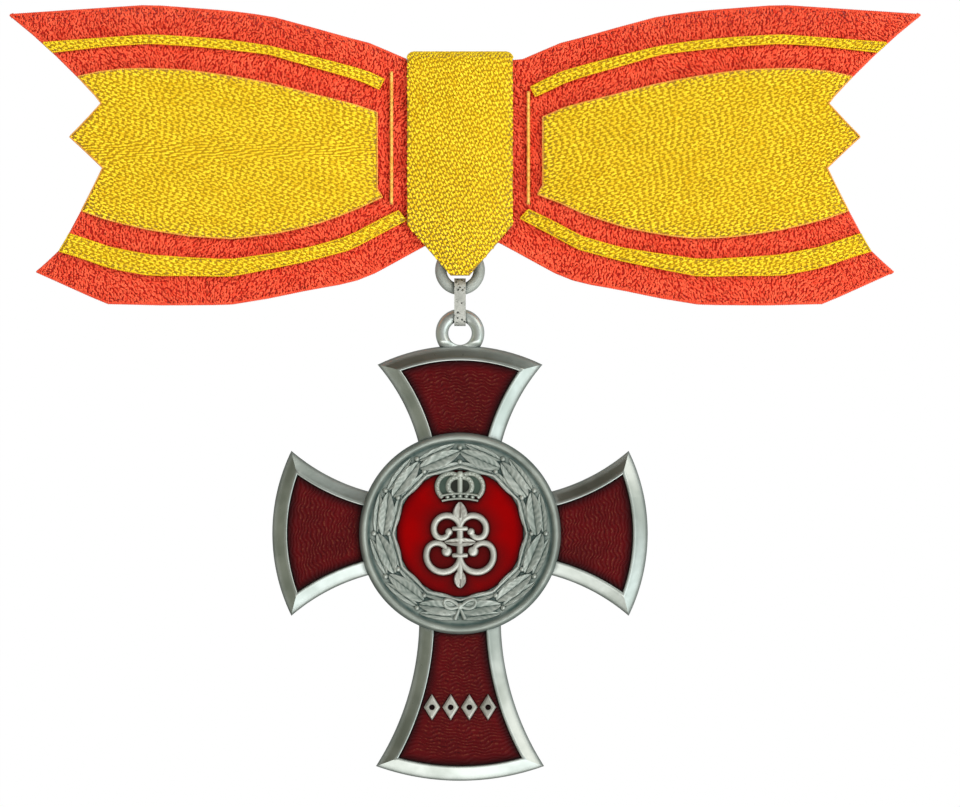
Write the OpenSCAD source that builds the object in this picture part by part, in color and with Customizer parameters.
// Order insignia: an enamelled silver cross with a wreathed centre disc, hanging by
// an eye, a strap link and a ring from a bow of red and yellow cloth.
// Millimetres. +Z is up, the front faces -Y, and the origin is the middle of the
// pin needle behind the bow, where the insignia is pinned on.

/* [Bow] */
// Reach of each wing from the bow's middle line to its tip
wing_reach = 48.7; // [46:0.1:50]
// Thickness of the red ground cloth
ground_t = 1.15; // [1:0.05:1.15]
// Thickness of the yellow cloth laid on the ground
panel_t = 0.7; // [0.4:0.05:0.8]
// How far the middle of a wing arches forward of its root
wing_arch = 2.3; // [1:0.1:3]
// How far a wing's upper and lower edges curl back from its middle line
edge_curl = 1.2; // [0.5:0.1:1.6]
// Height of the gathers where a wing leaves the knot
gather_h = 0.35; // [0.1:0.05:0.4]

/* [Knot] */
// Width of the knot band
knot_w = 11.3; // [10.5:0.1:12]
// Height of the knot band's top above the pin
knot_top = 6.2; // [6.1:0.1:7]
// Depth below the pin where the band starts to taper
knot_shoulder = 12.3; // [11.5:0.1:13]
// Depth below the pin of the band's tip
knot_tip = 17.7; // [17.5:0.1:17.7]

/* [Suspension] */
// Radius of the ring, to the middle of its wire
ring_r = 2.05; // [2:0.01:2.1]
// Radius of the ring's wire
ring_wire_r = 0.62; // [0.55:0.01:0.65]
// Radius of the eye on the cross, to the middle of its wire
eye_r = 1.93; // [1.88:0.01:1.96]
// Radius of the eye's wire
eye_wire_r = 0.68; // [0.6:0.01:0.69]
// Distance between the two round ends of the strap link
link_pitch = 2.77; // [2.7:0.01:3.1]
// Width of the strap that the link is bent from
link_w = 1.23; // [1.1:0.01:1.25]
// Thickness of that strap
link_t = 0.33; // [0.25:0.01:0.35]

/* [Cross] */
// Reach of the upper and side arms from the centre
arm_reach = 20.1; // [19:0.1:20.5]
// Reach of the lower arm from the centre
foot_reach = 26.5; // [25:0.1:28]
// Width of the bevelled rim round each arm
rim_w = 1.5; // [1.2:0.1:1.8]
// Thickness of the plate at its outer edge
plate_t = 1.0; // [0.8:0.1:1.2]
// Height of the rim's crest above the plate's outer edge
rim_h = 0.7; // [0.5:0.1:0.9]
// Depth of the enamel's surface under the rim's crest
enamel_drop = 0.25; // [0.15:0.05:0.35]

/* [Centre disc] */
// Radius of the centre disc at the crest of its rim
disc_r = 10.5; // [10.2:0.1:10.8]
// Radius of the enamelled middle
field_r = 6.8; // [6.6:0.1:7]
// Height of the wreath's leaves above the disc
leaf_h = 0.5; // [0.3:0.05:0.55]
// Length of the longest leaf of the wreath
leaf_l = 4.8; // [4.4:0.1:5]
// Radius of a berry
berry_r = 0.3; // [0.26:0.01:0.34]
// Height of the crown and the scrollwork above the enamel
ornament_h = 0.45; // [0.3:0.05:0.6]

/* [Hidden] */
$fn = 64;
gap = 0.03;              // clearance left between pieces that touch
laid_gap = 0.1;          // clearance under the cloth laid on a wing, whose faces are flat facets
over = 0.1;              // how far a cutting shape runs past what it cuts

// Depths of the hanging parts and the bow, measured back to front along Y
hang_y = -4.75;          // plane of the ring, link and eye
cross_shift_y = 0.1;     // the cross's plate lies this far behind that plane, to hang upright
knot_back_y = -2.95;     // back face of the knot band
band_t = 0.95;           // thickness of the knot band's cloth
cavity_t = 1.7;          // room inside the knot band
knot_crown = 0.5;        // how far the band's front bulges at its middle
wing_root_y = -5.35;     // front face of a wing inside the knot

// Heights of the hanging parts
ring_z = -17.12;
ring_low_z = ring_z - ring_r;
eye_top_z = ring_low_z - link_pitch;
eye_z = eye_top_z - eye_r;
cross_z = -45.3;
link_bore = 0.84;        // inner radius of the link's round ends

// A wing's outline: share of its reach, height of the edge above the pin
bow_mid_x = 0.53;        // the wings' middle line lies a little to the right of the knot's
top_edge = [[0, 4.9], [0.125, 5.3], [0.209, 7.05], [0.253, 7.6], [0.341, 8.8], [0.429, 9.95],
            [0.516, 10.5], [0.692, 11.15], [1, 10.2]];
low_edge = [[0, -12.4], [0.088, -14.4], [0.143, -15.9], [0.209, -17.65], [0.253, -18.4],
            [0.341, -19.15], [0.43, -20.05], [0.517, -20.75], [0.66, -20.8], [0.787, -20.65],
            [0.94, -17.3], [1, -16]];
// Its cut end: share across from the lower to the upper edge, share of its reach
cut_end = [[0, 0.94], [0.119, 0.888], [0.456, 0.7935], [0.543, 0.866], [0.678, 0.7955], [1, 1]];
// How the wing's middle line lies forward of its root: share of its reach, share of wing_arch
arch_line = [[0, 0], [0.13, 0.02], [0.2, 0.28], [0.3, 0.66], [0.42, 0.9], [0.55, 1], [0.7, 0.93],
             [0.85, 0.7], [1, 0.4]];

// The laid-on cloth: share of the wing's reach, height of its lower edge, of its upper edge
panel_rows = [[0.17, -9.0, -0.85], [0.209, -9.9, 0.05], [0.253, -10.9, 0.65], [0.341, -12.4, 1.7],
              [0.43, -13.3, 2.8], [0.516, -13.75, 3.55], [0.604, -13.45, 4.15], [0.692, -12.8, 4.35],
              [0.78, -11.8, 4.25], [0.85, -10.6, 3.5], [1, -8, 2.4]];
upper_stripe_rows = [[0.14, 1.2, 2.3], [0.176, 1.95, 3.2], [0.209, 2.8, 3.95], [0.253, 3.55, 4.6],
                     [0.341, 4.75, 5.7], [0.43, 6.0, 6.75], [0.516, 6.5, 7.35], [0.604, 6.9, 7.7],
                     [0.692, 7.15, 7.95], [0.78, 6.9, 7.65], [1, 5.7, 6.9]];
lower_stripe_rows = [[0.12, -11.5, -10.4], [0.143, -12.1, -10.75], [0.176, -12.9, -11.55],
                     [0.209, -13.8, -12.35], [0.253, -14.9, -13.55], [0.341, -16.05, -14.8],
                     [0.43, -16.95, -15.5], [0.516, -17.75, -16.1], [0.604, -17.65, -15.9],
                     [0.692, -17.65, -15.6], [0.78, -16.85, -14.75], [0.846, -15.7, -13.65],
                     [1, -13.5, -11.2]];
inner_stripe_low = -10.1;
inner_stripe_top = [4.1, 2.0]; // on the left and on the right wing
inner_stripe_w = 0.34;
// Where each of them starts, as distances from the knot's middle, on the left and on the right
panel_start = [8.9, 8.9];
upper_stripe_start = [8.7, 8.1];
lower_stripe_start = [6.6, 7.3];
inner_stripe_start = [7.15, 7.15];
// Their slanting ends: share across from the lower to the upper line, reach towards the knot
square_end = [[0, 0], [1, 0]];
panel_end = [[0, 0.55], [0.114, 0], [1, 0]];
upper_stripe_end = [[0, 0], [1, 0.5]];
lower_stripe_end = [[0, 0.8], [1, 0]];

// An arm's side: the end at the disc, its corner, and the radius of the side
arm_neck = [4.55, 10.06];
arm_side_r = 20.9;
arm_corner_x = 8.83;
foot_neck = [4.45, 11.3];
foot_side_r = 29.4;
foot_corner_x = 9.0;
stations = 12;           // leaf groups round the wreath
outer_berry_r = 9.2;     // distances from the disc's centre
inner_berry_r = 7.65;

/* Cloth of the bow */

function mix(a, b, t) = a + (b - a) * t;
function smooth(t) = let (c = max(0, min(1, t))) c * c * (3 - 2 * c);
function gather(s) = gather_h * (0.4 + 0.6 * smooth((s - 0.1) / 0.06)) * (1 - smooth((s - 0.16) / 0.3));
// Share across the wing, from its lower to its upper edge, of height z
function across_at(s, z) = (z - lookup(s, low_edge)) / (lookup(s, top_edge) - lookup(s, low_edge));
// Depth of the ground's front face at share s of the reach and share v across
function face_y(s, v) = wing_root_y
    - wing_arch * lookup(s, arch_line)
    + edge_curl * pow(2 * v - 1, 2) * smooth((s - 0.12) / 0.35)
    - gather(s) * cos(360 * 3 * v);

// The lower and the upper line of laid-on cloth, from its rows
function lines(rows) = [[for (r = rows) [r[0], r[1]]], [for (r = rows) [r[0], r[2]]]];
// Height at share s of the reach, where a runs from the lower line to the upper one
function line_z(edges, s, a) = mix(lookup(s, edges[0]), lookup(s, edges[1]), a);
// Share of the reach where line a meets the wing's cut end
function line_end(edges, a, s = 0.85, tries = 8) = tries == 0 ? s
    : line_end(edges, a, lookup(across_at(s, line_z(edges, s, a)), cut_end), tries - 1);

// Points of one face of a cloth, lifted off the ground's front face
function cloth_face(side, edges, across, along, start, stop, lift, slant) = [
    for (a = across, t = along) let (
        s = mix(start - lookup(a, slant) / wing_reach, min(stop, line_end(edges, a)), t),
        z = line_z(edges, s, a))
    [bow_mid_x + side * s * wing_reach, face_y(s, across_at(s, z)) - lift, z]];

// A closed slab of cloth that follows the wing, between a low and a high lift
module cloth(side, edges, across, along, start, stop, low, high, slant = square_end) {
    m = len(along);
    n = len(across);
    count = m * n;
    front = cloth_face(side, edges, across, along, start, stop, high, slant);
    back = cloth_face(side, edges, across, along, start, stop, low, slant);
    front_faces = [for (j = [0:n - 2], i = [0:m - 2]) let (p = j * m + i)
        each [[p, p + 1, p + m + 1], [p, p + m + 1, p + m]]];
    back_faces = [for (f = front_faces) [f[2] + count, f[1] + count, f[0] + count]];
    border = concat([for (i = [0:m - 2]) i], [for (j = [0:n - 2]) j * m + m - 1],
                    [for (i = [m - 1:-1:1]) (n - 1) * m + i], [for (j = [n - 1:-1:1]) j * m]);
    wall = [for (k = [0:len(border) - 1]) let (p = border[k], q = border[(k + 1) % len(border)])
            each [[q, p, p + count], [q, p + count, q + count]]];
    faces = concat(front_faces, back_faces, wall);
    polyhedron(concat(front, back), side < 0 ? faces : [for (f = faces) [f[2], f[1], f[0]]]);
}

function even(n) = [for (i = [0:n]) i / n];
// Lines across that pass through the corners of the cut end, with n steps between each two
function through(corners, n) = concat([for (k = [0:len(corners) - 2], i = [0:n - 1])
    mix(corners[k], corners[k + 1], i / n)], [corners[len(corners) - 1]]);

wing_across = through([for (c = cut_end) c[0]], 4);
panel_across = through([0, 0.342, 0.543, 0.782, 1], 3);

module wing(side) {
    color("#e8432e") cloth(side, [low_edge, top_edge], wing_across, even(24), 0.003, 1, -ground_t, 0);
}

// Share of a wing's reach at a distance from the knot's middle
function share(side, distance) = (distance - side * bow_mid_x) / wing_reach;

module laid(side, rows, across, steps, starts, slant = square_end, width = 99) {
    first = share(side, starts[side < 0 ? 0 : 1]);
    color("#f6cf2c") cloth(side, lines(rows), across, even(steps), first, first + width / wing_reach,
                           laid_gap, laid_gap + panel_t, slant);
}

module panel(side) {
    laid(side, panel_rows, panel_across, 14, panel_start, panel_end);
}

module upper_stripe(side) {
    laid(side, upper_stripe_rows, even(2), 24, upper_stripe_start, upper_stripe_end);
}

module lower_stripe(side) {
    laid(side, lower_stripe_rows, even(2), 24, lower_stripe_start, lower_stripe_end);
}

module inner_stripe(side) {
    top = inner_stripe_top[side < 0 ? 0 : 1];
    rows = [for (s = [0, 1]) [s, inner_stripe_low, top]];
    laid(side, rows, even(24), 1, inner_stripe_start, width = inner_stripe_w);
}

/* Knot band and pin */

// Turns a drawing in X and Z into a slab between two depths, back_y behind front_y
module slab(front_y, back_y) {
    translate([0, back_y, 0]) rotate([90, 0, 0]) linear_extrude(back_y - front_y) children();
}

knot_tip_w = 2.0;
knot_corner = 0.8;
cavity_back_y = knot_back_y - band_t;
cavity_front_y = cavity_back_y - cavity_t;
knot_front_y = cavity_front_y - band_t - knot_crown;
tongue_r = 0.75;         // cloth stitched through the ring, which the link stays clear of

module knot_outline() {
    w = knot_w / 2;
    square_top = knot_top - knot_corner;
    polygon([[-w, -knot_shoulder], [-knot_tip_w / 2, -knot_tip], [knot_tip_w / 2, -knot_tip],
             [w, -knot_shoulder], [w, square_top], [-w, square_top]]);
    translate([-w + knot_corner, 0]) square([knot_w - 2 * knot_corner, knot_top]);
    for (side = [-1, 1]) translate([side * (w - knot_corner), square_top]) circle(knot_corner);
}

// The band seen from the side, with the fold over its top
module knot_section() {
    depth = knot_back_y - knot_front_y;
    fold_r = depth / 2;
    translate([knot_front_y, -knot_tip - over]) square([depth, knot_tip + over + knot_top - fold_r]);
    translate([knot_front_y + fold_r, knot_top - fold_r]) circle(fold_r);
}

module along_x(length) {
    translate([-length / 2, 0, 0]) rotate([90, 0, 90]) linear_extrude(length) children();
}

module knot() {
    crown_r = (pow(knot_w / 2, 2) + pow(knot_crown, 2)) / (2 * knot_crown);
    top_wall = 0.8;
    color("#f3c81c") difference() {
        intersection() {
            slab(knot_front_y - over, knot_back_y + over) knot_outline();
            along_x(knot_w + 2 * over) knot_section();
            translate([0, knot_front_y + crown_r, -30]) cylinder(r = crown_r, h = 60, $fn = 128);
        }
        // Room for the wings and the ring, all round the cloth stitched through the ring
        difference() {
            translate([-knot_w, cavity_front_y, -knot_tip - over])
                cube([2 * knot_w, cavity_t, knot_tip + over + knot_top - top_wall]);
            translate([0, knot_back_y, ring_z]) rotate([90, 0, 0])
                cylinder(r = tongue_r, h = knot_back_y - knot_front_y, $fn = 48);
        }
    }
}

bar_l = 28;
bar_h = 3.6;
bar_t = 0.7;
needle_r = 0.4;
post_w = 1.4;
post_h = 1.2;

// A plain bar with two posts and the needle between them
module pin() {
    bar_front_y = knot_back_y + gap;
    color("#b9bcbf") union() {
        translate([-bar_l / 2, bar_front_y, -bar_h / 2]) cube([bar_l, bar_t, bar_h]);
        for (side = [-1, 1]) translate([side * (bar_l - post_w) / 2 - post_w / 2, bar_front_y, -post_h / 2])
            cube([post_w, post_h / 2 - bar_front_y, post_h]);
        translate([(post_w - bar_l) / 2, 0, 0]) rotate([0, 90, 0])
            cylinder(r = needle_r, h = bar_l - post_w, $fn = 32);
    }
}

/* Suspension */

// A ring of round wire that faces the front
module wire_ring(centre_z, radius, wire_r) {
    translate([0, hang_y, centre_z]) rotate([90, 0, 0])
        rotate_extrude($fn = 96) translate([radius, 0]) circle(wire_r, $fn = 32);
}

module ring() {
    color("#aeb1b3") wire_ring(ring_z, ring_r, ring_wire_r);
}

module link_shape(r) {
    translate([hang_y, ring_low_z]) circle(r);
    translate([hang_y, eye_top_z]) circle(r);
    translate([hang_y - r, eye_top_z]) square([2 * r, link_pitch]);
}

module link() {
    color("#c6c7c4") difference() {
        along_x(link_w) link_shape(link_bore + link_t);
        along_x(link_w + 2 * over) link_shape(link_bore);
    }
}

/* Cross: drawn with X to the right, Y up and Z towards the front, from its back face */

crest_z = plate_t + rim_h;
cross_back_y = hang_y + cross_shift_y + crest_z / 2;
floor_z = plate_t - 0.1;          // bottom of the pockets that hold the enamel
enamel_z = crest_z - enamel_drop; // surface of the arms' enamel
seat_z = plate_t + 0.25;          // face that carries the centre disc
seat_r = disc_r + 0.35;
tuck = 1.2;                       // how far the arms' enamel runs in under the centre disc
enamel_t = 0.3;                   // thickness of the centre's enamel
enamel_proud = 0.1;               // how far it stands above the face under the wreath
field_z = seat_z + gap + 0.9;     // face of the disc under the wreath
pocket_step = 0.1;                // step between the rim's crest and the pocket's wall

module on_cross() {
    translate([0, cross_back_y, cross_z]) rotate([90, 0, 0]) children();
}

// Centre of the circle of radius r through an arm's neck and corner, outside the arm
function side_centre(neck, corner, r) = let (
    half = norm(corner - neck) / 2,
    along = (corner - neck) / (2 * half))
    (neck + corner) / 2 + [along[1], -along[0]] * sqrt(r * r - half * half);
function corner_of(reach, x) = [x, sqrt(reach * reach - x * x)];

arm_centre = side_centre(arm_neck, corner_of(arm_reach, arm_corner_x), arm_side_r);
foot_centre = side_centre(foot_neck, corner_of(foot_reach, foot_corner_x), foot_side_r);

// An arm from the centre up to its reach, inset by set at height z0 and by set_top at height z1
module arm(reach, centre, side_r, z0, z1, set, set_top) {
    h = z1 - z0;
    half_w = 12;
    translate([0, 0, z0]) difference() {
        intersection() {
            cylinder(r1 = reach - set, r2 = reach - set_top, h = h, $fn = 256);
            translate([-half_w, 0, -over]) cube([2 * half_w, reach + 1, h + 2 * over]);
        }
        for (side = [-1, 1]) translate([side * centre[0], centre[1], 0])
            cylinder(r1 = side_r + set, r2 = side_r + set_top, h = h, $fn = 256);
    }
}

module each_arm(z0, z1, set, set_top) {
    for (turn = [-90, 0, 90]) rotate([0, 0, turn]) arm(arm_reach, arm_centre, arm_side_r, z0, z1, set, set_top);
    rotate([0, 0, 180]) arm(foot_reach, foot_centre, foot_side_r, z0, z1, set, set_top);
}

module disc(r, z0, z1) {
    translate([0, 0, z0]) cylinder(r = r, h = z1 - z0, $fn = 128);
}

// The plate with its rims, and the eye soldered to the upper arm
module cross_frame() {
    bite = 0.3;
    pocket = rim_w + pocket_step;
    color("#b4b7b5") {
        on_cross() difference() {
            union() {
                each_arm(0, plate_t, 0, 0);
                each_arm(plate_t, crest_z, 0, rim_w);
                disc(seat_r - 0.8, 0, seat_z);
            }
            disc(seat_r, seat_z, crest_z + over);
            difference() {
                each_arm(floor_z, crest_z + over, pocket, pocket);
                disc(disc_r - tuck, 0, crest_z + 2 * over);
            }
        }
        difference() {
            wire_ring(eye_z, eye_r, eye_wire_r);
            on_cross() disc(arm_reach - bite, -over, crest_z + over);
        }
    }
}

module enamel(turn, reach, centre, side_r) {
    inset = rim_w + pocket_step + gap;
    color("#7d0d12") on_cross() rotate([0, 0, turn]) difference() {
        arm(reach, centre, side_r, floor_z + gap, enamel_z, inset, inset);
        disc(disc_r - tuck + gap, 0, seat_z);
        disc(seat_r + gap, seat_z - gap, crest_z);
    }
}

module arm_enamel(turn) {
    enamel(turn, arm_reach, arm_centre, arm_side_r);
}

/* Centre disc with its rim and wreath */

// A pointed leaf between two arcs, lying along Y with its foot at the origin
module leaf_outline(length, width) {
    r = (pow(length, 2) + pow(width, 2)) / (4 * width);
    translate([0, length / 2]) intersection() {
        translate([r - width / 2, 0]) circle(r, $fn = 96);
        translate([-(r - width / 2), 0]) circle(r, $fn = 96);
    }
}

// Leaves of one station, going up on the right: distance of the foot from the centre, angle
// past the station, tilt from the tangent, share of leaf_l, width, share of leaf_h
leaf_rows = [[8.2, -2, 9, 1, 1.7, 1], [7.35, 0, 14, 0.92, 1.0, 0.7], [9.0, 0, 6, 0.92, 1.0, 0.7]];
sink = 0.05;             // how far raised work is sunk into what carries it

module station_leaves() {
    for (row = leaf_rows) rotate([0, 0, row[1]]) translate([0, -row[0], -sink]) rotate([0, 0, -90 + row[2]])
        linear_extrude(leaf_h * row[5] + sink) leaf_outline(leaf_l * row[3], row[4]);
}

// A ribbon bow at the foot of the wreath: two loops, their knot and the band below it
tie_r = 7.75;            // distance of the bow from the disc's centre
loop_l = 1.75;
loop_w = 1.05;
tie_knot_r = 0.5;
tie_band_w = 0.75;
tie_band_r = 9.3;        // distance of the band's foot from the disc's centre

module tie() {
    h = leaf_h + sink;
    translate([0, -tie_r, -sink]) {
        for (turn = [-90, 90]) rotate([0, 0, turn]) linear_extrude(h + 0.05) leaf_outline(loop_l, loop_w);
        cylinder(r = tie_knot_r, h = h + 0.15, $fn = 32);
    }
    translate([-tie_band_w / 2, -tie_band_r, -sink]) cube([tie_band_w, tie_band_r - tie_r, h + 0.1]);
}

module wreath() {
    step = 360 / stations;
    for (side = [0, 1], k = [0:stations / 2 - 1]) mirror([side, 0, 0]) rotate([0, 0, k * step]) station_leaves();
    for (k = [1:stations - 1], r = [outer_berry_r, inner_berry_r]) rotate([0, 0, k * step - 90])
        translate([r, 0, -sink]) cylinder(r = berry_r, h = leaf_h + 0.15, $fn = 24);
    tie();
}

module centre_disc() {
    rim_top = field_z + 0.5;
    inner_r = disc_r - 0.7;
    slope = 0.2;
    foot_r = seat_r - gap;
    color("#a9aeab") on_cross() difference() {
        union() {
            rotate_extrude($fn = 128) polygon([
                [0, seat_z + gap], [foot_r, seat_z + gap], [disc_r, rim_top - slope],
                [disc_r - slope, rim_top], [inner_r + slope, rim_top], [inner_r, field_z], [0, field_z]]);
            translate([0, 0, field_z]) wreath();
        }
        disc(field_r, field_z + enamel_proud - enamel_t - gap, field_z + 2);
    }
}

module centre_enamel() {
    color("#b30a0a") on_cross() disc(field_r - gap, field_z + enamel_proud - enamel_t, field_z + enamel_proud);
}

/* Raised ornaments on the enamel */

module on_field() {
    color("#c3c6c2") on_cross() translate([0, 0, field_z + enamel_proud + gap]) children();
}

// Section of a raised stroke of width w, bevelled along both sides
module stroke_section(w) {
    side_h = 0.6 * ornament_h;
    polygon([[-w / 2, 0], [w / 2, 0], [w / 2, side_h], [w / 4, ornament_h], [-w / 4, ornament_h],
             [-w / 2, side_h]]);
}

// A curved stroke: centre, radius, first angle, last angle, width
module arc_stroke(x, y, r, from, to, w) {
    translate([x, y, 0]) rotate([0, 0, from]) rotate_extrude(angle = to - from, $fn = 96)
        translate([r, 0]) stroke_section(w);
}

// Strokes that follow one another, with a knob at the end: radius, how far it turns to the right
module scroll(rows, w, knob_r, k = 0) {
    if (k < len(rows)) {
        r = rows[k][0];
        turn = rows[k][1];
        arc_stroke(r, 0, r, 180 - turn, 180, w);
        translate([r, 0, 0]) rotate([0, 0, -turn]) translate([-r, 0, 0]) scroll(rows, w, knob_r, k + 1);
    } else {
        bead(0, 0, knob_r);
    }
}

module bead(x, y, r) {
    translate([x, y, 0]) cylinder(r = r, h = ornament_h, $fn = 32);
}

// Arches on one side of the crown: centre, radius, first angle, last angle, width
arch_rows = [[1.05, 5.0, 1.4, -55, 140, 0.5], [0.3, 5.05, 0.97, -75, 125, 0.56]];
// Pearls on the outer arch: angle round the arch, radius
pearl_rows = [[5, 0.27], [50, 0.29], [95, 0.31]];
// The head band: height of its curve's centre, radius, half its angle, width
band_arc = [-4, 8, 14.5, 0.66];
band_end_r = 0.35;
middle_arch_w = 0.56;
middle_arch_y = [3.7, 6.1];
ball_y = 6.3;
ball_r = 0.38;

module crown() {
    outer = arch_rows[0];
    on_field() {
        arc_stroke(0, band_arc[0], band_arc[1], 90 - band_arc[2], 90 + band_arc[2], band_arc[3]);
        translate([-middle_arch_w / 2, middle_arch_y[0], 0])
            cube([middle_arch_w, middle_arch_y[1] - middle_arch_y[0], 0.8 * ornament_h]);
        bead(0, ball_y, ball_r);
        for (side = [0, 1]) mirror([side, 0, 0]) {
            for (a = arch_rows) arc_stroke(a[0], a[1], a[2], a[3], a[4], a[5]);
            for (p = pearl_rows) bead(outer[0] + outer[2] * cos(p[0]), outer[1] + outer[2] * sin(p[0]), p[1]);
            bead(band_arc[1] * sin(band_arc[2]), band_arc[0] + band_arc[1] * cos(band_arc[2]), band_end_r);
        }
    }
}

// Volutes on one side of the stem: height where it leaves the stem, up (1) or down (-1),
// radius of the outer turn, radius of the inner turn
volute_rows = [[0.5, 1, 1.4, 0.8], [-2.35, -1, 1.8, 1.08]];
outer_turn = 200;
inner_turn = 150;
stroke_w = 0.7;
stem_y = [-4.9, 1.7];
collar_w = 1.7;
collar_h = 0.5;
// Leaves on the stem: place of the foot, turn, length, width
spray_rows = [[0, 0.8, 0, 2.6, 1.5], [1.75, -0.93, 90, 3.5, 0.9], [0, -5.85, 0, 2.0, 1.2]];

// A leaf on a stem between four volutes, with collars where they leave it and a drop below
module scrollwork() {
    on_field() {
        for (row = volute_rows) {
            translate([-collar_w / 2, row[0] - collar_h / 2, 0]) cube([collar_w, collar_h, ornament_h]);
            for (side = [0, 1]) mirror([side, 0, 0]) translate([0, row[0], 0]) mirror([0, row[1] > 0 ? 0 : 1, 0])
                scroll([[row[2], outer_turn], [row[3], inner_turn]], stroke_w, 0.55 * row[3]);
        }
        translate([-stroke_w / 2, stem_y[0], 0]) cube([stroke_w, stem_y[1] - stem_y[0], 0.85 * ornament_h]);
        for (row = spray_rows) translate([row[0], row[1], 0]) rotate([0, 0, row[2]])
            linear_extrude(ornament_h) leaf_outline(row[3], row[4]);
    }
}

// Four pierced lozenges in a row on the lower arm
lozenge_pitch = 2.0;
lozenge_y = -18.6;
lozenge_h = 2.8;
lozenge_w = 1.75;
lozenge_t = 0.35;
lozenge_bore = 0.3;      // radius of the hole through a lozenge

module lozenge(i) {
    x = (i - 2.5) * lozenge_pitch;
    color("#c3c6c2") on_cross() translate([x, lozenge_y, enamel_z + gap]) linear_extrude(lozenge_t) difference() {
        polygon([[0, -lozenge_h / 2], [lozenge_w / 2, 0], [0, lozenge_h / 2], [-lozenge_w / 2, 0]]);
        circle(lozenge_bore, $fn = 32);
    }
}

wing(-1);  // wing_left
wing(1);  // wing_right
panel(-1);  // panel_left
panel(1);  // panel_right
upper_stripe(-1);  // upper_stripe_left
upper_stripe(1);  // upper_stripe_right
lower_stripe(-1);  // lower_stripe_left
lower_stripe(1);  // lower_stripe_right
inner_stripe(-1);  // inner_stripe_left
inner_stripe(1);  // inner_stripe_right
knot();
pin();
ring();
link();
cross_frame();
arm_enamel(0);  // enamel_top
arm_enamel(90);  // enamel_left
arm_enamel(-90);  // enamel_right
enamel(180, foot_reach, foot_centre, foot_side_r);  // enamel_foot
centre_disc();
centre_enamel();
crown();
scrollwork();
for (i = [1:4]) lozenge(i);
